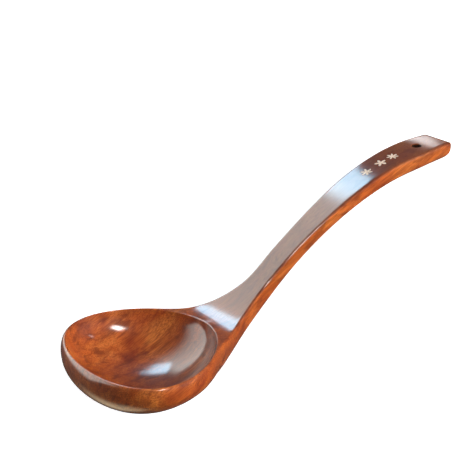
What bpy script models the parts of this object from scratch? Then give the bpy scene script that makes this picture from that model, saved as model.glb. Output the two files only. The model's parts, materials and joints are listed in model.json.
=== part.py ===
"""A wooden soup ladle with a curved handle, carved from one piece of wood.

Frame: the ladle lies on a table, which the small flat under its bowl and the underside of its
handle's end both touch. The handle runs along +X, +Z is up, and the origin is the centre of the
flat. The shape itself is worked out in the rim's frame, whose XY plane is the bowl's level rim,
and then leaned back as a whole. Sizes are in millimetres; MM turns them into metres.
"""
import bmesh
import bpy
import numpy as np
from math import acos
from math import atan
from math import ceil
from math import cos
from math import pi
from math import radians
from math import sin
from math import sqrt

MM = 0.001

# Overall sizes
LENGTH = 260.6              # straight line from the bowl's front to the handle's end
BOWL_WIDTH = 90.6           # over the outside of the bowl, at its widest
BOWL_DEPTH = 24.4           # from the lowest point, with the rim level, to the rim
HANDLE_RISE = 64.2          # top of the handle's end above the rim

# Bowl
LIP = 2.6                   # the lip rounds over this far outside the cavity's edge
FRONT_LIP = 2.5             # and this far at the bowl's front, where it is thinner
LIP_DROP = 7.0              # and this far down to the bowl's widest line
LAND = 0.25                 # flat part of the lip, between the cavity's edge and the rounding
OPENING_LENGTH = 74.6
EGG_TAPER = 0.2             # share of the width lost towards the handle, gained at the front
EGG_SHIFT = 0.53            # shift of the widest line towards the front
CAVITY_DEPTH = 20.8
CAVITY_CENTRE = 5.0         # centre of the cavity's curve above the rim, so the wall leans out
CAVITY_EXPONENT = 2.2
SIDE_EXPONENT = 1.8         # fullness of the underside towards the sides
FRONT_EXPONENT = 2.6        # and towards the front
FOOT_SHAVE = 0.35           # shaved off the underside, which leaves the flat to lie on

# Neck and handle: values at evenly spaced stations from the neck to the handle's end
NECK_X = 19.8
HALF_WIDTHS = (None, 17.8, 8.3, 7.6, 8.5, 9.7, 10.8, 12.0, 10.8)
RISES = (0.0, -0.004, 0.148, 0.407, 0.631, 0.811, 0.929, 0.983, 1.0)
THICKNESSES = (23.4, 17.2, 14.5, 11.8, 10.5, 10.7, 10.8, 10.5, 9.7)
HANDLE_EXPONENT = 3.5       # the handle's underside is squarish with soft corners
HANDLE_EDGE = 1.5           # rounding of the handle's top edges
BLEND_START = 15.0          # the bowl's section turns into the handle's between these
BLEND_END = 45.0
END_CORNER = 3.2            # rounding of the handle's end, seen from above
END_TOP = 3.0               # rounding of the end's upper edge
END_UNDER = 6.2             # and of its lower edge, which turns up like a blunt nose

# Hanging hole
HOLE_DIAMETER = 5.8
HOLE_FROM_END = 20.1

# Inlaid ornament on the top of the handle
MARK_FROM_END = (60.5, 49.4, 40.0)
MARK_PETALS = (6, 5, 7)
MARK_RADIUS = 3.5
MARK_CORE = 0.9
MARK_THICKNESS = 0.5
MARK_PROUD = 0.08           # stands this far above the wood
GAP = 0.3                   # clearance round and under each inlay

# Derived sizes
WIDEST_ANGLE = pi - acos((sqrt(1.0 + 8.0 * EGG_TAPER ** 2) - 1.0) / (4.0 * EGG_TAPER))
EGG_FULLNESS = sin(WIDEST_ANGLE) * (1.0 - EGG_TAPER * cos(WIDEST_ANGLE))
OUTSIDE = (
    0.5 * (OPENING_LENGTH + LIP + FRONT_LIP),
    0.5 * BOWL_WIDTH / EGG_FULLNESS,
    EGG_SHIFT + 0.5 * (LIP - FRONT_LIP),
)
OPENING = (0.5 * OPENING_LENGTH, OUTSIDE[1] - LIP, EGG_SHIFT)
WAIST_X = -OUTSIDE[2]
FRONT_X = OUTSIDE[2] - OUTSIDE[0]
END_X = sqrt(LENGTH ** 2 - HANDLE_RISE ** 2) + FRONT_X
STATIONS = np.linspace(NECK_X, END_X, len(HALF_WIDTHS))
HOLE_X = END_X - HOLE_FROM_END

# Cutters only need to reach past what they cut
FOOT_CUTTER_SIZE = 50.0
HOLE_CUTTER_LENGTH = 40.0

# Mesh density
FAN_LINES = 12
NECK_LINES = 16
HANDLE_LINES = 30
END_LINES = 6
LIP_POINTS = 4
UNDER_POINTS = 13
CAVITY_SEGMENTS = 56
CAVITY_RINGS = 9


def egg(angle, outline):
    """Point of an egg-shaped outline (half length, half width, shift); angle 0 is the handle's."""
    half_length, half_width_, shift = outline
    x = half_length * cos(angle) + shift * cos(2.0 * angle)
    y = half_width_ * sin(angle) * (1.0 - EGG_TAPER * cos(angle))
    return x, y


def egg_width_at(x):
    """Half width of the bowl's outside at x, on the handle's side of its widest line."""
    low = 0.0
    high = pi / 2.0
    for _ in range(40):
        middle = (low + high) / 2.0
        if egg(middle, OUTSIDE)[0] > x:
            low = middle
        else:
            high = middle
    return egg(low, OUTSIDE)[1]


def hermite(x, xs, ys, first_slope):
    """Smooth curve through the stations (xs, ys), with a given slope at the first one."""
    steps = np.diff(xs)
    chords = np.diff(ys) / steps
    slopes = np.empty(len(ys))
    slopes[1:-1] = (chords[:-1] * steps[1:] + chords[1:] * steps[:-1]) / (xs[2:] - xs[:-2])
    slopes[0] = first_slope
    slopes[-1] = chords[-1] + 0.5 * (chords[-1] - slopes[-2])
    i = min(max(int(np.searchsorted(xs, x, side="right")) - 1, 0), len(xs) - 2)
    u = (x - xs[i]) / steps[i]
    return float(
        ys[i] * (1.0 + 2.0 * u) * (1.0 - u) ** 2
        + slopes[i] * steps[i] * u * (1.0 - u) ** 2
        + ys[i + 1] * u * u * (3.0 - 2.0 * u)
        + slopes[i + 1] * steps[i] * u * u * (u - 1.0)
    )


def smoothstep(x, low, high):
    share = min(max((x - low) / (high - low), 0.0), 1.0)
    return share * share * (3.0 - 2.0 * share)


def half_width(x):
    if x <= NECK_X:
        return egg_width_at(x)
    at_neck = egg_width_at(NECK_X)
    slope = egg_width_at(NECK_X + 0.5) - egg_width_at(NECK_X - 0.5)
    return hermite(x, STATIONS, np.array((at_neck,) + HALF_WIDTHS[1:]), slope)


def top_height(x):
    """Height of the top face above the rim plane."""
    if x <= NECK_X:
        return 0.0
    return hermite(x, STATIONS, HANDLE_RISE * np.array(RISES), 0.0)


def thickness(x):
    xs = np.concatenate(([WAIST_X], STATIONS))
    return hermite(x, xs, np.array((BOWL_DEPTH,) + THICKNESSES), 0.0)


def quarter_rounding(x, radius):
    """How far a corner of this radius at the handle's end has fallen away at x."""
    run = x - (END_X - radius)
    if run <= 0.0:
        return 0.0
    return radius - sqrt(max(radius ** 2 - run ** 2, 0.0))


def leaned(x, z, lean):
    """(Along, height) of a point of the rim's frame once it leans back by this angle."""
    return x * cos(lean) + z * sin(lean), z * cos(lean) - x * sin(lean)


def underside(low, high, lean):
    """Points of the underside's middle line between x = low and high, leaned back."""
    points = []
    for x in np.linspace(low, high, 600):
        z = top_height(x) - thickness(x) + quarter_rounding(x, END_UNDER)
        points.append(leaned(x, z, lean))
    return points


def resting_place():
    """Lean at which the shaved bowl and the handle's end touch one plane, and the flat's centre."""
    low = 0.0
    high = radians(40.0)
    for _ in range(30):
        lean = (low + high) / 2.0
        bowl = underside(WAIST_X, 0.4 * END_X, lean)
        level = min(z for _, z in bowl) + FOOT_SHAVE
        if min(z for _, z in underside(END_X - 2.0 * END_UNDER, END_X, lean)) > level:
            low = lean
        else:
            high = lean
    flat = [x for x, z in bowl if z < level]
    return lean, 0.5 * (min(flat) + max(flat)), level


def section(width, depth, lip, drop, exponent):
    """Half a cross-section as (distance from the middle, height), top middle to bottom middle."""
    points = [(0.0, 0.0)]
    for i in range(LIP_POINTS):
        angle = 0.5 * pi * i / LIP_POINTS
        points.append((width - lip + lip * sin(angle), -drop * (1.0 - cos(angle))))
    for i in range(UNDER_POINTS + 1):
        angle = 0.5 * pi * i / UNDER_POINTS
        out = width * max(cos(angle), 0.0) ** (2.0 / exponent)
        points.append((out, -drop - (depth - drop) * sin(angle) ** (2.0 / exponent)))
    points[-1] = (0.0, -depth)
    return points


def fan_line(angle):
    """Bowl profile from its middle out through the outline at this angle."""
    exponent = SIDE_EXPONENT + (FRONT_EXPONENT - SIDE_EXPONENT) * cos(angle) ** 2
    out_x, out_y = egg(angle, OUTSIDE)
    reach = sqrt((out_x - WAIST_X) ** 2 + out_y ** 2)
    front = max(-cos(angle), 0.0)
    lip = LIP + (FRONT_LIP - LIP) * front - LAND
    profile = section(reach, BOWL_DEPTH, lip, LIP_DROP, exponent)
    return [
        (WAIST_X + (out_x - WAIST_X) * r / reach, -out_y * r / reach, z) for r, z in profile
    ]


def loft_line(x):
    """Half cross-section of the bowl, neck or handle at x."""
    blend = smoothstep(x, BLEND_START, BLEND_END)
    exponent = SIDE_EXPONENT + (HANDLE_EXPONENT - SIDE_EXPONENT) * blend
    lip = (LIP - LAND) * (1.0 - blend) + HANDLE_EDGE * blend
    drop = LIP_DROP * (1.0 - blend) + HANDLE_EDGE * blend
    trim = quarter_rounding(x, END_TOP)
    width = half_width(x) - quarter_rounding(x, END_CORNER) - trim
    depth = thickness(x) - trim - quarter_rounding(x, END_UNDER)
    profile = section(width, depth, lip, drop, exponent)
    top = top_height(x) - trim
    return [(x, -r, top + z) for r, z in profile]


def line_positions():
    """Where the cross-sections stand, closer together round the handle's end."""
    neck = np.linspace(WAIST_X, BLEND_END, NECK_LINES + 1)[:-1]
    handle = np.linspace(BLEND_END, END_X - END_UNDER, HANDLE_LINES + 1)
    corner = [
        END_X - END_UNDER + END_UNDER * sin(0.5 * pi * i / END_LINES)
        for i in range(1, END_LINES)
    ]
    edge = [END_X - share * END_TOP for share in (0.67, 0.3, 0.08, 0.0)]
    inner = [x for x in corner if x < edge[0] - 0.2]
    return list(neck) + list(handle) + inner + edge


LEAN, FLAT_X, FLAT_LEVEL = resting_place()


def to_metres(point):
    """From the rim's frame in millimetres to the part's frame in metres."""
    x, z = leaned(point[0], point[2], LEAN)
    return (x - FLAT_X) * MM, point[1] * MM, (z - FLAT_LEVEL) * MM


def new_object(name, bm, material):
    mesh = bpy.data.meshes.new(name)
    bm.to_mesh(mesh)
    bm.free()
    if material is not None:
        mesh.materials.append(material)
    mesh.shade_smooth()
    mesh.set_sharp_from_angle(angle=0.7)
    obj = bpy.data.objects.new(name, mesh)
    bpy.context.scene.collection.objects.link(obj)
    return obj


def principled(name, colour, roughness, metallic):
    material = bpy.data.materials.new(name)
    material.use_nodes = True
    shader = material.node_tree.nodes["Principled BSDF"]
    shader.inputs["Base Color"].default_value = colour
    shader.inputs["Roughness"].default_value = roughness
    shader.inputs["Metallic"].default_value = metallic
    return material


def body_half():
    """The near half of the blank: a fan of profiles round the bowl's front, then a loft."""
    bm = bmesh.new()
    angles = [pi - 0.5 * pi * i / FAN_LINES for i in range(FAN_LINES)]
    positions = line_positions()
    loft = [[bm.verts.new(to_metres(p)) for p in loft_line(x)] for x in positions]
    top_pole = loft[0][0]
    bottom_pole = loft[0][-1]
    fan = []
    for angle in angles:
        inner = [bm.verts.new(to_metres(p)) for p in fan_line(angle)[1:-1]]
        fan.append([top_pole] + inner + [bottom_pole])
    lines = fan + loft
    for line, following in zip(lines[:-1], lines[1:]):
        for k in range(len(line) - 1):
            corners = [line[k], line[k + 1], following[k + 1], following[k]]
            unique = [v for n, v in enumerate(corners) if v not in corners[:n]]
            bm.faces.new(unique)
    bm.faces.new(lines[-1])
    return bm


def cavity_cutter():
    """The hollow of the bowl, open upwards past the rim."""
    whole = CAVITY_DEPTH + CAVITY_CENTRE
    rim_angle = np.arcsin((CAVITY_CENTRE / whole) ** (CAVITY_EXPONENT / 2.0))
    rim_share = cos(rim_angle) ** (2.0 / CAVITY_EXPONENT)
    top_angle = 0.4 * rim_angle
    bm = bmesh.new()
    rings = []
    for i in range(CAVITY_RINGS + 2):
        if i == 0:
            angle = top_angle
        else:
            angle = rim_angle + (0.5 * pi - rim_angle) * (i - 1) / (CAVITY_RINGS + 1)
        share = cos(angle) ** (2.0 / CAVITY_EXPONENT) / rim_share
        height = CAVITY_CENTRE - whole * sin(angle) ** (2.0 / CAVITY_EXPONENT)
        ring = []
        for j in range(CAVITY_SEGMENTS):
            x, y = egg(2.0 * pi * j / CAVITY_SEGMENTS, OPENING)
            point = (WAIST_X + (x - WAIST_X) * share, y * share, height)
            ring.append(bm.verts.new(to_metres(point)))
        rings.append(ring)
    for upper, lower in zip(rings[:-1], rings[1:]):
        for j in range(CAVITY_SEGMENTS):
            k = (j + 1) % CAVITY_SEGMENTS
            bm.faces.new((upper[j], lower[j], lower[k], upper[k]))
    bm.faces.new(rings[0])
    floor = bm.verts.new(to_metres((WAIST_X, 0.0, -CAVITY_DEPTH)))
    for j in range(CAVITY_SEGMENTS):
        bm.faces.new((rings[-1][(j + 1) % CAVITY_SEGMENTS], rings[-1][j], floor))
    bmesh.ops.recalc_face_normals(bm, faces=bm.faces)
    return new_object("cavity_cutter", bm, None)


def hole_cutter():
    """A round drill, square to the handle's top."""
    bm = bmesh.new()
    bmesh.ops.create_cone(
        bm,
        cap_ends=True,
        segments=32,
        radius1=0.5 * HOLE_DIAMETER * MM,
        radius2=0.5 * HOLE_DIAMETER * MM,
        depth=HOLE_CUTTER_LENGTH * MM,
    )
    obj = new_object("hole_cutter", bm, None)
    slope = top_height(HOLE_X + 0.5) - top_height(HOLE_X - 0.5)
    obj.rotation_euler = (0.0, LEAN - atan(slope), 0.0)
    obj.location = to_metres((HOLE_X, 0.0, top_height(HOLE_X)))
    return obj


def foot_cutter():
    """Everything below the level of the flat under the bowl."""
    bm = bmesh.new()
    bmesh.ops.create_cube(bm, size=FOOT_CUTTER_SIZE * MM)
    obj = new_object("foot_cutter", bm, None)
    obj.location = (0.0, 0.0, -0.5 * FOOT_CUTTER_SIZE * MM)
    return obj


def rosette(name, x, petals, grow, low, high, material):
    """A flower-shaped plate that follows the handle's top between the heights low and high."""
    bm = bmesh.new()
    count = petals * ceil(48 / petals)
    outline = []
    for i in range(count):
        angle = 2.0 * pi * i / count
        petal = abs(cos(0.5 * petals * angle)) ** 1.6
        r = MARK_CORE + (MARK_RADIUS - MARK_CORE) * petal + grow
        outline.append((x + r * cos(angle), r * sin(angle)))
    lower = [bm.verts.new(to_metres((u, v, top_height(u) + low))) for u, v in outline]
    upper = [bm.verts.new(to_metres((u, v, top_height(u) + high))) for u, v in outline]
    lower_hub = bm.verts.new(to_metres((x, 0.0, top_height(x) + low)))
    upper_hub = bm.verts.new(to_metres((x, 0.0, top_height(x) + high)))
    for i in range(count):
        j = (i + 1) % count
        bm.faces.new((lower[i], lower[j], upper[j], upper[i]))
        bm.faces.new((upper[i], upper[j], upper_hub))
        bm.faces.new((lower[j], lower[i], lower_hub))
    return new_object(name, bm, material)


def cut(body, cutter):
    cutter.hide_render = True
    cutter.display_type = "WIRE"
    modifier = body.modifiers.new("cut_" + cutter.name, "BOOLEAN")
    modifier.operation = "DIFFERENCE"
    modifier.solver = "EXACT"
    modifier.object = cutter


def main():
    for obj in list(bpy.data.objects):
        bpy.data.objects.remove(obj, do_unlink=True)
    wood = principled("lacquered_wood", (0.36, 0.105, 0.028, 1.0), 0.16, 0.0)
    inlay = principled("pale_inlay", (0.62, 0.42, 0.25, 1.0), 0.45, 0.0)
    body = new_object("ladle_body", body_half(), wood)
    mirror = body.modifiers.new("far_half", "MIRROR")
    mirror.use_axis = (False, True, False)
    mirror.merge_threshold = 0.00001
    cut(body, foot_cutter())
    cut(body, cavity_cutter())
    cut(body, hole_cutter())
    for number, (from_end, petals) in enumerate(zip(MARK_FROM_END, MARK_PETALS), start=1):
        x = END_X - from_end
        bottom = MARK_PROUD - MARK_THICKNESS
        recess = rosette(f"recess_cutter_{number}", x, petals, GAP, bottom - GAP, 2.0, None)
        cut(body, recess)
        rosette(f"mark_inlay_{number}", x, petals, 0.0, bottom, MARK_PROUD, inlay)


main()
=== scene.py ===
"""Studio scene of a lacquered wooden soup ladle with a curved handle."""
import json
import bmesh
import bpy
import numpy as np
from math import acos, atan, ceil, cos, hypot, pi, radians, sin, sqrt, tan
from mathutils import Matrix, Vector

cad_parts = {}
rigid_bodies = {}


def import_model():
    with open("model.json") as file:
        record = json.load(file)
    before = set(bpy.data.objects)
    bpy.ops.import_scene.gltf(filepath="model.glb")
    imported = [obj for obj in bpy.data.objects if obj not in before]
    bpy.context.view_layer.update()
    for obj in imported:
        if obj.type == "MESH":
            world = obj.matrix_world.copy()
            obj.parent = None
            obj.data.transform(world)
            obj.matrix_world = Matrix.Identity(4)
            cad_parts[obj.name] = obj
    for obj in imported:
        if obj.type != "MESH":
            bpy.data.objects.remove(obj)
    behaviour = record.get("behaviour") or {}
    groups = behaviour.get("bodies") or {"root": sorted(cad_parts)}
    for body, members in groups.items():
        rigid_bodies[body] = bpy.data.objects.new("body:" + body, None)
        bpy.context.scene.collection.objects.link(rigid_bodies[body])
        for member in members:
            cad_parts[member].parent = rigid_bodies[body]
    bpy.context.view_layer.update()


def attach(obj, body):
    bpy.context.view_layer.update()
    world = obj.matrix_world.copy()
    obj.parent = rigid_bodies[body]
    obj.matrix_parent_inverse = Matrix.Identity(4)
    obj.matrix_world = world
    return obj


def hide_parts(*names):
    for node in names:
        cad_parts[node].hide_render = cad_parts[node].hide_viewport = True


MM = 0.001

# The ladle's driving sizes in millimetres, as in the CAD model. They are in the rim's frame:
# x runs from the bowl to the handle's end, z is up, and the rim lies at z = 0.
LENGTH = 260.6              # straight line from the bowl's front to the handle's end
BOWL_WIDTH = 90.6           # over the outside of the bowl, at its widest
BOWL_DEPTH = 24.4           # from the lowest point, with the rim level, to the rim
HANDLE_RISE = 64.2          # top of the handle's end above the rim

# The bowl's lip, with the flat land on it, its opening, its cavity and its outside
LIP = 2.6                   # the lip rounds over this far outside the cavity's edge
FRONT_LIP = 2.5             # and this far at the bowl's front, where it is thinner
LIP_DROP = 7.0              # and this far down to the bowl's widest line
LAND = 0.25                 # flat part of the lip, between the cavity's edge and the rounding
OPENING_LENGTH = 74.6
EGG_TAPER = 0.2             # share of the width lost towards the handle, gained at the front
EGG_SHIFT = 0.53            # shift of the widest line towards the front
CAVITY_DEPTH = 20.8
CAVITY_CENTRE = 5.0         # centre of the cavity's curve above the rim, so the wall leans out
CAVITY_EXPONENT = 2.2
SIDE_EXPONENT = 1.8         # fullness of the underside towards the sides
FRONT_EXPONENT = 2.6        # and towards the front
FOOT_SHAVE = 0.35           # shaved off the underside, which leaves the flat to lie on

# The handle at nine even stations from the neck to its end: half widths, the first of which is
# the bowl's own, rises as shares of HANDLE_RISE, and thicknesses
NECK_X = 19.8
HALF_WIDTHS = (None, 17.8, 8.3, 7.6, 8.5, 9.7, 10.8, 12.0, 10.8)
RISES = (0.0, -0.004, 0.148, 0.407, 0.631, 0.811, 0.929, 0.983, 1.0)
THICKNESSES = (23.4, 17.2, 14.5, 11.8, 10.5, 10.7, 10.8, 10.5, 9.7)

# The handle's cross-section, which the bowl's blends into, and the roundings of its end
HANDLE_EXPONENT = 3.5       # the handle's underside is squarish with soft corners
HANDLE_EDGE = 1.5           # rounding of the handle's top edges
BLEND_START = 15.0          # the bowl's section turns into the handle's between these
BLEND_END = 45.0
END_CORNER = 3.2            # rounding of the handle's end, seen from above
END_TOP = 3.0               # rounding of the end's upper edge
END_UNDER = 6.2             # and of its lower edge, which turns up like a blunt nose

# The hanging hole and the three rosettes
HOLE_DIAMETER = 5.8
HOLE_FROM_END = 20.1
MARK_FROM_END = (60.5, 49.4, 40.0)
MARK_PETALS = (6, 5, 7)
MARK_RADIUS = 3.5
MARK_CORE = 0.9
MARK_THICKNESS = 0.5
MARK_PROUD = 0.08           # stands this far above the wood

# Finer than the CAD model: a softened cavity edge and a chamfered hole
EDGE_SOFTNESS = 0.45        # width of the softened edge between the cavity and the land
EDGE_SHARE = 0.8            # of the land's width, the most that the softened edge takes
WALL_STOP = 0.022           # the cavity's wall ends this angle, in radians, short of the rim
CHAMFER = 0.4               # at both mouths of the hanging hole
CUTTER_REACH = 3.0          # how far the hole's cutter stands out of the wood
RECESS_GAP = 0.04           # clearance round and under each rosette
RECESS_REACH = 2.0          # how far a recess's cutter stands above the wood
SHARP_ANGLE = radians(32.0)  # edges that turn by more than this are shaded sharp

# Lines of the surface, and points along each of them
FAN_LINES = 44              # from the bowl's front to its widest line
BACK_LINES = 44             # from there to the neck, as far as BACK_END on the outside
BACK_END = 40.5
BACK_EVENNESS = 0.45        # 1 would space these lines evenly along x
NECK_LINES = 24             # cross-sections between NECK_START and NECK_END
NECK_START = 42.0
NECK_END = 60.0
HANDLE_LINES = 120          # and from there to the roundings of the end
END_LINES = 16
CAVITY_POINTS = 34
EDGE_POINTS = 5
LAND_POINTS = 6
LIP_POINTS = 10
UNDER_POINTS = 34
HOLE_SEGMENTS = 64
ROSETTE_SEGMENTS = 96       # at least this many points round a rosette
ROSETTE_RINGS = (0.35, 0.7, 1.0)  # shares of the outline's radius
PETAL_EXPONENT = 1.6        # a higher one makes slimmer petals

# Solving for the resting place and for the bowl's width at a given x
STEEPEST_LEAN = radians(40.0)  # the search for the lean starts below this
LEAN_HALVINGS = 30
WIDTH_HALVINGS = 50
UNDERSIDE_SAMPLES = 600

# Studio: where the lights aim and how far away the far ones stand, in metres; the floor's glow
AIM = Vector((0.055, 0.0, 0.02))  # roughly the middle of the ladle
LIGHT_DISTANCE = 3.0
FLOOR_GLOW = 0.85

WIDEST_ANGLE = pi - acos((sqrt(1.0 + 8.0 * EGG_TAPER ** 2) - 1.0) / (4.0 * EGG_TAPER))
EGG_FULLNESS = sin(WIDEST_ANGLE) * (1.0 - EGG_TAPER * cos(WIDEST_ANGLE))
OUTSIDE = (
    0.5 * (OPENING_LENGTH + LIP + FRONT_LIP),
    0.5 * BOWL_WIDTH / EGG_FULLNESS,
    EGG_SHIFT + 0.5 * (LIP - FRONT_LIP),
)
OPENING = (0.5 * OPENING_LENGTH, OUTSIDE[1] - LIP, EGG_SHIFT)
WAIST_X = -OUTSIDE[2]
FRONT_X = OUTSIDE[2] - OUTSIDE[0]
END_X = sqrt(LENGTH ** 2 - HANDLE_RISE ** 2) + FRONT_X
STATIONS = np.linspace(NECK_X, END_X, len(HALF_WIDTHS))
HOLE_X = END_X - HOLE_FROM_END


def egg(angle, outline):
    """Point of an egg-shaped outline (half length, half width, shift); angle 0 is the handle's."""
    x = outline[0] * cos(angle) + outline[2] * cos(2.0 * angle)
    y = outline[1] * sin(angle) * (1.0 - EGG_TAPER * cos(angle))
    return x, y


def egg_width_at(x):
    """Half width of the bowl's outline at x, on the handle's side of its widest place."""
    low = 0.0
    high = pi / 2.0
    for _ in range(WIDTH_HALVINGS):
        middle = (low + high) / 2.0
        if egg(middle, OUTSIDE)[0] > x:
            low = middle
        else:
            high = middle
    return egg(low, OUTSIDE)[1]


def hermite(x, xs, ys, first_slope):
    """Smooth curve through the stations (xs, ys), with a given slope at the first one."""
    steps = np.diff(xs)
    chords = np.diff(ys) / steps
    slopes = np.empty(len(ys))
    slopes[1:-1] = (chords[:-1] * steps[1:] + chords[1:] * steps[:-1]) / (xs[2:] - xs[:-2])
    slopes[0] = first_slope
    slopes[-1] = chords[-1] + 0.5 * (chords[-1] - slopes[-2])
    i = min(max(int(np.searchsorted(xs, x, side="right")) - 1, 0), len(xs) - 2)
    u = (x - xs[i]) / steps[i]
    return float(
        ys[i] * (1.0 + 2.0 * u) * (1.0 - u) ** 2
        + slopes[i] * steps[i] * u * (1.0 - u) ** 2
        + ys[i + 1] * u * u * (3.0 - 2.0 * u)
        + slopes[i + 1] * steps[i] * u * u * (u - 1.0)
    )


def smoothstep(x, low, high):
    """0 below low, 1 above high, and a smooth rise between them."""
    share = min(max((x - low) / (high - low), 0.0), 1.0)
    return share * share * (3.0 - 2.0 * share)


NECK_WIDTHS = np.array((egg_width_at(NECK_X),) + HALF_WIDTHS[1:])
NECK_SLOPE = egg_width_at(NECK_X + 0.5) - egg_width_at(NECK_X - 0.5)
DEPTH_STATIONS = np.concatenate(([WAIST_X], STATIONS))
DEPTHS = np.array((BOWL_DEPTH,) + THICKNESSES)


def half_width(x):
    """Half width of the whole outline at x, bowl or handle."""
    if x <= NECK_X:
        return egg_width_at(x)
    return hermite(x, STATIONS, NECK_WIDTHS, NECK_SLOPE)


def top_height(x):
    """Height of the top face above the rim plane."""
    if x <= NECK_X:
        return 0.0
    return hermite(x, STATIONS, HANDLE_RISE * np.array(RISES), 0.0)


def thickness(x):
    """Depth of the ladle's middle below its top face at x."""
    return hermite(x, DEPTH_STATIONS, DEPTHS, 0.0)


def quarter_rounding(x, radius):
    """How far a corner of this radius at the handle's end has fallen away at x."""
    run = x - (END_X - radius)
    if run <= 0.0:
        return 0.0
    return radius - sqrt(max(radius ** 2 - run ** 2, 0.0))


def leaned(x, z, lean):
    """(Along, height) of a point of the rim's frame once it leans back by this angle."""
    return x * cos(lean) + z * sin(lean), z * cos(lean) - x * sin(lean)


def underside(low, high, lean):
    """Points of the underside's middle line between x = low and high, leaned back."""
    points = []
    for x in np.linspace(low, high, UNDERSIDE_SAMPLES):
        z = top_height(x) - thickness(x) + quarter_rounding(x, END_UNDER)
        points.append(leaned(x, z, lean))
    return points


def resting_place():
    """Lean at which the shaved bowl and the handle's end touch one plane, and the flat's centre."""
    low = 0.0
    high = STEEPEST_LEAN
    for _ in range(LEAN_HALVINGS):
        lean = (low + high) / 2.0
        bowl = underside(WAIST_X, 0.4 * END_X, lean)
        level = min(z for _, z in bowl) + FOOT_SHAVE
        if min(z for _, z in underside(END_X - 2.0 * END_UNDER, END_X, lean)) > level:
            low = lean
        else:
            high = lean
    flat = [x for x, z in bowl if z < level]
    return lean, 0.5 * (min(flat) + max(flat)), level


LEAN, FLAT_X, FLAT_LEVEL = resting_place()


def to_metres(point):
    """From the rim's frame in millimetres to the part's frame in metres."""
    x, z = leaned(point[0], point[2], LEAN)
    return (x - FLAT_X) * MM, point[1] * MM, (z - FLAT_LEVEL) * MM


def shell(width, depth, lip, drop, exponent):
    """(Distance from the middle, height) from the lip's start, down the side, to the bottom."""
    points = []
    for i in range(LIP_POINTS):
        angle = 0.5 * pi * i / LIP_POINTS
        points.append((width - lip + lip * sin(angle), -drop * (1.0 - cos(angle))))
    for i in range(UNDER_POINTS + 1):
        angle = 0.5 * pi * i / UNDER_POINTS
        out = width * max(cos(angle), 0.0) ** (2.0 / exponent)
        points.append((out, -drop - (depth - drop) * sin(angle) ** (2.0 / exponent)))
    points[-1] = (0.0, -depth)
    return points


def cavity_and_edge(angle, land):
    """The cavity's wall at this angle from its floor up, then the softened edge to the land."""
    whole = CAVITY_DEPTH + CAVITY_CENTRE
    rim_angle = float(np.arcsin((CAVITY_CENTRE / whole) ** (CAVITY_EXPONENT / 2.0)))
    rim_share = cos(rim_angle) ** (2.0 / CAVITY_EXPONENT)
    edge_x, edge_y = egg(angle, OPENING)
    rim = Vector((edge_x, -edge_y, top_height(edge_x)))

    def wall(turn):
        """Point of the wall; where the rim climbs the neck, the wall's top climbs with it."""
        share = max(cos(turn), 0.0) ** (2.0 / CAVITY_EXPONENT) / rim_share
        height = CAVITY_CENTRE - whole * sin(turn) ** (2.0 / CAVITY_EXPONENT)
        lift = rim.z * share ** 4
        return Vector((WAIST_X + (edge_x - WAIST_X) * share, -edge_y * share, height + lift))

    turns = np.linspace(0.5 * pi, rim_angle + WALL_STOP, CAVITY_POINTS)
    points = [wall(turn) for turn in turns]
    points[0] = Vector((WAIST_X, 0.0, -CAVITY_DEPTH))
    start = points[-1]
    step = 0.001
    ahead_x, ahead_y = egg(angle + step, OPENING)
    outward = Vector((ahead_y - edge_y, ahead_x - edge_x, 0.0)).normalized()
    end = rim + outward * min(EDGE_SOFTNESS, EDGE_SHARE * (land - rim).length)
    end.z = top_height(end.x)
    for i in range(1, EDGE_POINTS):
        u = i / EDGE_POINTS
        points.append(start * (1.0 - u) ** 2 + rim * 2.0 * u * (1.0 - u) + end * u * u)
    return points, end


def across_land(start, end):
    """Points over the top face from start to end, without end."""
    points = [start.lerp(end, i / LAND_POINTS) for i in range(LAND_POINTS)]
    for point in points:
        point.z = top_height(point.x)
    return points


def fan_line(angle):
    """Bowl profile from its floor out over the rim at this angle and under to the foot."""
    exponent = SIDE_EXPONENT + (FRONT_EXPONENT - SIDE_EXPONENT) * cos(angle) ** 2
    out_x, out_y = egg(angle, OUTSIDE)
    reach = hypot(out_x - WAIST_X, out_y)
    front = max(-cos(angle), 0.0)
    lip = LIP + (FRONT_LIP - LIP) * front - LAND
    profile = [
        Vector((WAIST_X + (out_x - WAIST_X) * r / reach, -out_y * r / reach, z))
        for r, z in shell(reach, BOWL_DEPTH, lip, LIP_DROP, exponent)
    ]
    inner, land_start = cavity_and_edge(angle, profile[0])
    return inner + across_land(land_start, profile[0]) + profile


def loft_shell(x):
    """Outside of the cross-section at x, from its top edge to its middle line underneath."""
    blend = smoothstep(x, BLEND_START, BLEND_END)
    exponent = SIDE_EXPONENT + (HANDLE_EXPONENT - SIDE_EXPONENT) * blend
    lip = (LIP - LAND) * (1.0 - blend) + HANDLE_EDGE * blend
    drop = LIP_DROP * (1.0 - blend) + HANDLE_EDGE * blend
    trim = quarter_rounding(x, END_TOP)
    width = half_width(x) - quarter_rounding(x, END_CORNER) - trim
    depth = thickness(x) - trim - quarter_rounding(x, END_UNDER)
    top = top_height(x) - trim
    profile = shell(width, depth, lip, drop, exponent)
    return [Vector((x, -r, top + z)) for r, z in profile]


def back_line(share):
    """Cavity wall on the handle's side, joined over the land to a cross-section behind it."""
    angle = 0.5 * pi * (1.0 - share)
    advance = BACK_EVENNESS * share + (1.0 - BACK_EVENNESS) * sin(0.5 * pi * share)
    x = WAIST_X + (BACK_END - WAIST_X) * advance
    profile = loft_shell(x)
    inner, land_start = cavity_and_edge(angle, profile[0])
    return inner + across_land(land_start, profile[0]) + profile


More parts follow.
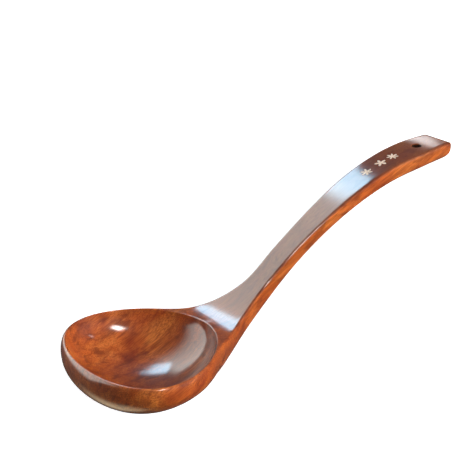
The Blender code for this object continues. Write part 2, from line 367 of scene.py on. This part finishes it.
def handle_line(x):
    """Cross-section of the handle at x, from the middle of its top to its underside."""
    profile = loft_shell(x)
    middle = Vector((x, 0.0, profile[0].z))
    return [middle.lerp(profile[0], i / LAND_POINTS) for i in range(LAND_POINTS)] + profile


def handle_positions():
    """Where the handle's cross-sections stand, close together at the neck and at the end."""
    neck = np.linspace(NECK_START, NECK_END, NECK_LINES + 1)[:-1]
    handle = np.linspace(NECK_END, END_X - END_UNDER, HANDLE_LINES + 1)[:-1]
    corner = [
        END_X - END_UNDER + END_UNDER * sin(0.5 * pi * i / END_LINES)
        for i in range(END_LINES + 1)
    ]
    return list(neck) + list(handle) + corner


def ladle_mesh():
    """Near half as lines of points; the far half mirrors it and meets it on the middle line."""
    fan = [fan_line(pi - 0.5 * pi * i / FAN_LINES) for i in range(FAN_LINES)]
    back = [back_line(i / BACK_LINES) for i in range(BACK_LINES + 1)]
    hollow_lines = fan + back
    solid_lines = [handle_line(x) for x in handle_positions()]
    land_index = CAVITY_POINTS + EDGE_POINTS - 1
    verts = []
    index = {}

    def vertex(point, side):
        """Index of the point, shared by points that round alike, never below the bowl's flat."""
        x, y, z = to_metres((point.x, point.y * side, point.z))
        place = (x, y, max(z, 0.0))
        key = tuple(round(value * 1e8) for value in place)
        if key not in index:
            index[key] = len(verts)
            verts.append(place)
        return index[key]

    faces = []
    for side in (1.0, -1.0):
        lines = [[vertex(p, side) for p in line] for line in hollow_lines]
        tails = [[vertex(p, side) for p in line] for line in solid_lines]
        strips = list(zip(lines[:-1], lines[1:]))
        strips.append((lines[-1][land_index:], tails[0]))
        strips += list(zip(tails[:-1], tails[1:]))
        for line, following in strips:
            for k in range(len(line) - 1):
                face = [line[k], line[k + 1], following[k + 1], following[k]]
                face = [v for n, v in enumerate(face) if v not in face[:n]]
                if len(face) > 2:
                    faces.append(face if side > 0.0 else face[::-1])
        cap = [v for n, v in enumerate(tails[-1]) if v not in tails[-1][:n]]
        faces.append(cap if side > 0.0 else cap[::-1])
    mesh = bpy.data.meshes.new("carved_ladle")
    mesh.from_pydata(verts, [], faces)
    mesh.validate()
    return mesh


def link(obj):
    """Puts a new object in the scene."""
    bpy.context.scene.collection.objects.link(obj)
    return obj


def hole_turn():
    """Turns +Z square to the handle's top at the hole."""
    slope = top_height(HOLE_X + 0.5) - top_height(HOLE_X - 0.5)
    return Matrix.Rotation(LEAN - atan(slope), 4, "Y")


def hole_cutter():
    """The hanging hole with a small chamfer at both mouths, as one turned solid."""
    radius = 0.5 * HOLE_DIAMETER
    wide = radius + CHAMFER + CUTTER_REACH
    bottom = -thickness(HOLE_X)
    outline = (
        (wide, CUTTER_REACH),
        (radius, -CHAMFER),
        (radius, bottom + CHAMFER),
        (wide, bottom - CUTTER_REACH),
    )
    bm = bmesh.new()
    rings = []
    for r, z in outline:
        turns = [2.0 * pi * i / HOLE_SEGMENTS for i in range(HOLE_SEGMENTS)]
        ring = [bm.verts.new((r * cos(t) * MM, r * sin(t) * MM, z * MM)) for t in turns]
        rings.append(ring)
    for upper, lower in zip(rings[:-1], rings[1:]):
        for i in range(HOLE_SEGMENTS):
            k = (i + 1) % HOLE_SEGMENTS
            bm.faces.new((upper[i], lower[i], lower[k], upper[k]))
    bm.faces.new(rings[0])
    bm.faces.new(rings[-1][::-1])
    obj = new_object("hole_cutter", bm)
    place = Matrix.Translation(to_metres((HOLE_X, 0.0, top_height(HOLE_X))))
    obj.data.transform(place @ hole_turn())
    return obj


def rosette(name, x, petals, grow, low, high):
    """A flower-shaped plate that follows the handle's top between the heights low and high."""
    count = petals * ceil(ROSETTE_SEGMENTS / petals)
    bm = bmesh.new()
    sheets = []
    for height in (low, high):
        rings = []
        for share in ROSETTE_RINGS:
            ring = []
            for i in range(count):
                angle = 2.0 * pi * i / count
                petal = abs(cos(0.5 * petals * angle)) ** PETAL_EXPONENT
                r = share * (MARK_CORE + (MARK_RADIUS - MARK_CORE) * petal + grow)
                u = x + r * cos(angle)
                point = to_metres((u, r * sin(angle), top_height(u) + height))
                ring.append(bm.verts.new(point))
            rings.append(ring)
        hub = bm.verts.new(to_metres((x, 0.0, top_height(x) + height)))
        sheets.append((hub, rings))
    for hub, rings in sheets:
        for i in range(count):
            j = (i + 1) % count
            bm.faces.new((rings[0][i], rings[0][j], hub))
            for inner, outer in zip(rings[:-1], rings[1:]):
                bm.faces.new((inner[i], outer[i], outer[j], inner[j]))
    lower = sheets[0][1][-1]
    upper = sheets[1][1][-1]
    for i in range(count):
        j = (i + 1) % count
        bm.faces.new((lower[i], lower[j], upper[j], upper[i]))
    return new_object(name, bm)


def new_object(name, bm):
    """Object of a finished bmesh, with its faces turned outwards."""
    bmesh.ops.recalc_face_normals(bm, faces=bm.faces)
    mesh = bpy.data.meshes.new(name)
    bm.to_mesh(mesh)
    bm.free()
    return link(bpy.data.objects.new(name, mesh))


def build_ladle():
    """The whole ladle with its hole and recesses cut, lacquered wood laid on and painted shade in
    the hole.
    """
    ladle = link(bpy.data.objects.new("carved_ladle", ladle_mesh()))
    cutters = [hole_cutter()]
    bottom = MARK_PROUD - MARK_THICKNESS - RECESS_GAP
    for number, (from_end, petals) in enumerate(zip(MARK_FROM_END, MARK_PETALS)):
        x = END_X - from_end
        cutters.append(rosette(f"recess_{number}", x, petals, RECESS_GAP, bottom, RECESS_REACH))
    for cutter in cutters:
        modifier = ladle.modifiers.new(cutter.name, "BOOLEAN")
        modifier.operation = "DIFFERENCE"
        modifier.solver = "EXACT"
        modifier.object = cutter
    bpy.context.view_layer.update()
    depsgraph = bpy.context.evaluated_depsgraph_get()
    mesh = bpy.data.meshes.new_from_object(ladle.evaluated_get(depsgraph))
    ladle.modifiers.clear()
    ladle.data = mesh
    for cutter in cutters:
        bpy.data.objects.remove(cutter, do_unlink=True)
    mesh.shade_smooth()
    mesh.set_sharp_from_angle(angle=SHARP_ANGLE)
    mesh.materials.clear()
    mesh.materials.append(lacquered_wood())
    mesh.materials.append(bored_wood())
    middle = Vector(to_metres((HOLE_X, 0.0, top_height(HOLE_X))))
    axis = hole_turn() @ Vector((0.0, 0.0, 1.0))
    # faces of the hole's wall take the near-black painted shade
    for polygon in mesh.polygons:
        offset = polygon.center - middle
        from_axis = (offset - axis * offset.dot(axis)).length
        polygon.material_index = 1 if from_axis < 0.5 * HOLE_DIAMETER * MM else 0
    return ladle


class Nodes:
    """A new material, and short ways to add nodes to it."""

    def __init__(self, name):
        self.material = bpy.data.materials.new(name)
        self.material.use_nodes = True
        self.tree = self.material.node_tree
        self.shader = self.tree.nodes["Principled BSDF"]

    def set(self, socket, value):
        """Gives one of the shader's own sockets a constant."""
        self.shader.inputs[socket].default_value = value

    def add(self, kind, **values):
        node = self.tree.nodes.new(kind)
        for key, value in values.items():
            setattr(node, key, value)
        return node

    def link(self, source, target):
        self.tree.links.new(source, target)

    def noise(self, coords, scales, detail, rough, distortion=0.0):
        """Noise with its own scale along each of the object's axes."""
        mapping = self.add("ShaderNodeMapping")
        mapping.inputs["Scale"].default_value = scales
        self.link(coords, mapping.inputs["Vector"])
        node = self.add("ShaderNodeTexNoise")
        node.inputs["Scale"].default_value = 1.0
        node.inputs["Detail"].default_value = detail
        node.inputs["Roughness"].default_value = rough
        node.inputs["Distortion"].default_value = distortion
        self.link(mapping.outputs["Vector"], node.inputs["Vector"])
        return node.outputs["Fac"]

    def times(self, a, b):
        """Product of an output and either a number or another output."""
        node = self.add("ShaderNodeMath", operation="MULTIPLY")
        self.link(a, node.inputs[0])
        if isinstance(b, float):
            node.inputs[1].default_value = b
        else:
            self.link(b, node.inputs[1])
        return node.outputs[0]

    def axis(self, vector, name):
        """X, Y or Z of a vector output."""
        node = self.add("ShaderNodeSeparateXYZ")
        self.link(vector, node.inputs[0])
        return node.outputs[name]

    def ramp(self, fac, stops):
        node = self.add("ShaderNodeValToRGB")
        elements = node.color_ramp.elements
        while len(elements) < len(stops):
            elements.new(0.5)
        for element, (position, colour) in zip(elements, stops):
            element.position = position
            element.color = colour + (1.0,)
        self.link(fac, node.inputs["Fac"])
        return node.outputs["Color"]

    def tint(self, base, mask, strength, colour):
        """Base colour, mixed with another where the mask says, at most by this strength."""
        node = self.add("ShaderNodeMix", data_type="RGBA")
        self.link(self.times(mask, strength), node.inputs[0])
        self.link(base, node.inputs[6])
        node.inputs[7].default_value = colour + (1.0,)
        return node.outputs[2]

    def rise(self, value, low, high, to_low=0.0, to_high=1.0):
        """Smooth rise from to_low to to_high as the value goes from low to high."""
        node = self.add("ShaderNodeMapRange", interpolation_type="SMOOTHSTEP")
        node.inputs["From Min"].default_value = low
        node.inputs["From Max"].default_value = high
        node.inputs["To Min"].default_value = to_low
        node.inputs["To Max"].default_value = to_high
        self.link(value, node.inputs["Value"])
        return node.outputs["Result"]

    def bump(self, height, strength, distance, socket="Normal"):
        """Bump from a noise, distance in metres, on the surface or on its coat."""
        node = self.add("ShaderNodeBump")
        node.inputs["Strength"].default_value = strength
        node.inputs["Distance"].default_value = distance
        self.link(height, node.inputs["Height"])
        self.link(node.outputs["Normal"], self.shader.inputs[socket])


def lacquered_wood():
    """Clear gloss over orange-red wood with dark figure, streaks, short fibres and painted shade on
    the handle's top.
    """
    n = Nodes("lacquered_wood_grain")
    texture = n.add("ShaderNodeTexCoord")
    coords = texture.outputs["Object"]
    cloud = n.noise(coords, (20.0, 42.0, 42.0), 3.0, 0.55, 0.8)
    fibres = n.noise(coords, (16.0, 300.0, 300.0), 5.0, 0.62, 0.3)
    mottle = n.noise(coords, (75.0, 190.0, 190.0), 4.0, 0.62, 0.5)
    hair = n.noise(coords, (90.0, 2200.0, 2200.0), 3.0, 0.6)
    browns = (
        (0.34, (0.27, 0.040, 0.008)),
        (0.47, (0.52, 0.108, 0.016)),
        (0.64, (0.68, 0.190, 0.034)),
    )
    base = n.ramp(cloud, browns)
    # painted shade: the handle's top is coloured darker than its sides, where less light falls
    painted_top_shade = n.rise(n.axis(texture.outputs["Normal"], "Z"), 0.35, 0.75)
    on_handle = n.rise(n.axis(coords, "X"), -0.012, 0.02)
    base = n.tint(base, n.times(painted_top_shade, on_handle), 0.72, (0.10, 0.026, 0.009))
    base = n.tint(base, n.rise(fibres, 0.60, 0.40), 0.50, (0.22, 0.036, 0.007))
    base = n.tint(base, n.rise(mottle, 0.52, 0.66), 0.55, (0.11, 0.016, 0.005))
    base = n.tint(base, n.rise(hair, 0.54, 0.42), 0.45, (0.13, 0.022, 0.005))
    n.link(base, n.shader.inputs["Base Color"])
    n.link(n.rise(fibres, 0.3, 0.7, 0.5, 0.6), n.shader.inputs["Roughness"])
    n.set("Specular IOR Level", 0.12)
    n.set("Coat Weight", 1.0)
    n.set("Coat Roughness", 0.12)
    n.set("Coat IOR", 1.5)
    n.bump(fibres, 0.12, 0.0002)
    n.bump(mottle, 0.16, 0.0002, "Coat Normal")
    return n.material


def bored_wood():
    """Unpolished wall of the hanging hole, coloured near black as painted shade."""
    n = Nodes("bored_wood")
    coords = n.add("ShaderNodeTexCoord").outputs["Object"]
    grit = n.noise(coords, (1400.0, 1400.0, 500.0), 3.0, 0.6)
    colour = n.ramp(grit, ((0.35, (0.012, 0.004, 0.002)), (0.65, (0.05, 0.018, 0.007))))
    n.link(colour, n.shader.inputs["Base Color"])
    n.set("Roughness", 0.8)
    n.set("Specular IOR Level", 0.1)
    n.bump(grit, 0.5, 0.0001)
    return n.material


def pale_filler():
    """Matt pale filling of the rosettes."""
    n = Nodes("pale_filler")
    coords = n.add("ShaderNodeTexCoord").outputs["Object"]
    grit = n.noise(coords, (900.0, 1500.0, 1500.0), 3.0, 0.6)
    colour = n.ramp(grit, ((0.35, (0.74, 0.50, 0.34)), (0.6, (0.95, 0.80, 0.66))))
    n.link(colour, n.shader.inputs["Base Color"])
    n.link(n.rise(grit, 0.3, 0.7, 0.4, 0.6), n.shader.inputs["Roughness"])
    n.bump(grit, 0.2, 0.00005)
    return n.material


def direction(azimuth, elevation):
    """Unit vector; azimuth 0 is -Y, 90 is +X."""
    a = radians(azimuth)
    e = radians(elevation)
    return Vector((sin(a) * cos(e), -cos(a) * cos(e), sin(e)))


def fade(nodes, links, coordinate, softness):
    """1 inside a light's face, falling to 0 at both its edges along one coordinate."""
    mirrored = nodes.new("ShaderNodeMath")
    mirrored.operation = "PINGPONG"
    mirrored.inputs[1].default_value = 0.5
    links.new(coordinate, mirrored.inputs[0])
    step = nodes.new("ShaderNodeMapRange")
    step.interpolation_type = "SMOOTHSTEP"
    step.inputs["From Max"].default_value = softness
    links.new(mirrored.outputs[0], step.inputs["Value"])
    return step.outputs["Result"]


def studio_light(name, azimuth, elevation, wide, high, radiance, colour=(1.0, 1.0, 1.0),
                 soft=(0.0, 0.0), distance=LIGHT_DISTANCE, shine=True, fill=True):
    """A rectangular light that spans wide by high degrees at these angles, with soft edges.

    shine=False keeps it out of the lacquer's reflections; fill=False shows it only in them.
    """
    light = bpy.data.lights.new(name, "AREA")
    light.shape = "RECTANGLE"
    light.size = 2.0 * distance * tan(radians(0.5 * wide))
    light.size_y = 2.0 * distance * tan(radians(0.5 * high))
    light.energy = radiance * pi * light.size * light.size_y
    light.color = colour
    if max(soft) > 0.0:
        light.use_nodes = True
        nodes = light.node_tree.nodes
        links = light.node_tree.links
        parts = nodes.new("ShaderNodeSeparateXYZ")
        links.new(nodes.new("ShaderNodeNewGeometry").outputs["Parametric"], parts.inputs[0])
        product = nodes.new("ShaderNodeMath")
        product.operation = "MULTIPLY"
        for i in range(2):
            edge = fade(nodes, links, parts.outputs[i], soft[i])
            links.new(edge, product.inputs[i])
        links.new(product.outputs[0], nodes["Emission"].inputs["Strength"])
    obj = link(bpy.data.objects.new(name, light))
    towards = direction(azimuth, elevation)
    obj.location = AIM + towards * distance
    obj.rotation_euler = towards.to_track_quat("Z", "Y").to_euler()
    obj.visible_camera = False
    obj.visible_glossy = shine
    obj.visible_diffuse = fill


def camera():
    """The camera, placed in the rim's frame and leaned back with the ladle."""
    azimuth = -37.449
    elevation = 23.362
    roll = radians(-0.666)
    away = 547.364
    target = Vector((55.387, 0.0, 46.875))
    back = direction(azimuth, elevation)
    right = Vector((0.0, 0.0, 1.0)).cross(back).normalized()
    up = back.cross(right)
    turned_right = right * cos(roll) + up * sin(roll)
    turned_up = up * cos(roll) - right * sin(roll)
    data = bpy.data.cameras.new("camera")
    data.sensor_width = 36.0
    data.lens = 82.45
    data.clip_start = 0.01
    obj = link(bpy.data.objects.new("camera", data))
    rotation = Matrix((turned_right, turned_up, back)).transposed().to_4x4()
    lean = Matrix.Rotation(LEAN, 4, "Y")
    place = Matrix.Translation(to_metres(target + back * away))
    obj.matrix_world = place @ lean @ rotation
    bpy.context.scene.camera = obj


def floor():
    """A pale floor, just under the ladle, that doesn't light it from below."""
    half = 8.0
    mesh = bpy.data.meshes.new("floor")
    corners = [(-half, -half, 0.0), (half, -half, 0.0), (half, half, 0.0), (-half, half, 0.0)]
    mesh.from_pydata(corners, [], [(0, 1, 2, 3)])
    obj = link(bpy.data.objects.new("floor", mesh))
    obj.location.z = -0.0002
    n = Nodes("pale_floor")
    n.set("Base Color", (0.86, 0.86, 0.86, 1.0))
    n.set("Roughness", 0.9)
    n.set("Specular IOR Level", 0.0)
    n.set("Emission Color", (1.0, 1.0, 1.0, 1.0))
    n.set("Emission Strength", FLOOR_GLOW)
    mesh.materials.append(n.material)
    obj.visible_diffuse = False
    obj.visible_glossy = False
    obj.visible_shadow = False


def world():
    """White for the camera, dim for everything the ladle sees."""
    scene_world = bpy.data.worlds.new("studio")
    bpy.context.scene.world = scene_world
    scene_world.use_nodes = True
    nodes = scene_world.node_tree.nodes
    links = scene_world.node_tree.links
    background = nodes["Background"]
    background.inputs["Color"].default_value = (1.0, 1.0, 1.0, 1.0)
    path = nodes.new("ShaderNodeLightPath")
    strength = nodes.new("ShaderNodeMapRange")
    strength.inputs["To Min"].default_value = 0.07
    strength.inputs["To Max"].default_value = 1.05
    links.new(path.outputs["Is Camera Ray"], strength.inputs["Value"])
    links.new(strength.outputs["Result"], background.inputs["Strength"])


def lights():
    """Warm fill lights from near by, and far soft lights that show only in the lacquer."""
    warm = (1.0, 0.97, 0.93)
    blue = (0.50, 0.79, 1.0)
    grey = (0.97, 1.0, 0.95)
    olive = (1.0, 0.82, 0.52)
    studio_light("key", 46.0, 4.0, 50.0, 34.0, 9.5, warm, distance=0.9, shine=False)
    studio_light("bowl_fill", 4.0, 30.0, 34.0, 26.0, 5.6, warm, distance=1.0, shine=False)
    studio_light("back_fill", 122.0, 36.0, 30.0, 30.0, 1.8, warm, distance=1.0, shine=False)
    studio_light("far_fill", 202.0, 8.0, 50.0, 34.0, 3.4, warm, distance=1.0, shine=False)
    studio_light("window", 143.5, 31.0, 12.0, 22.0, 13.0, blue, soft=(0.2, 0.3), fill=False)
    studio_light("grey_wall", 197.0, 36.0, 90.0, 76.0, 4.3, grey, soft=(0.12, 0.36), fill=False)
    studio_light("spot", 14.0, 49.0, 14.0, 20.0, 45.0, warm, soft=(0.4, 0.4), fill=False)
    studio_light("edge_strip", 62.0, 24.0, 5.0, 12.0, 7.0, soft=(0.3, 0.2), fill=False)
    studio_light("tip_panel", 128.5, 3.0, 4.0, 4.0, 6.0, soft=(0.2, 0.3), fill=False)
    studio_light("under_glow", -110.0, -40.0, 70.0, 50.0, 2.2, olive, soft=(0.4, 0.4), fill=False)


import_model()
bpy.context.scene.view_settings.view_transform = "Standard"
camera()
world()
floor()
lights()

filler = pale_filler()
ladle = build_ladle()
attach(ladle, "root")
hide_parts("ladle_body")
for obj in bpy.data.objects:
    if obj.name.startswith("mark_inlay") and obj.type == "MESH":
        obj.data.materials.clear()
        obj.data.materials.append(filler)
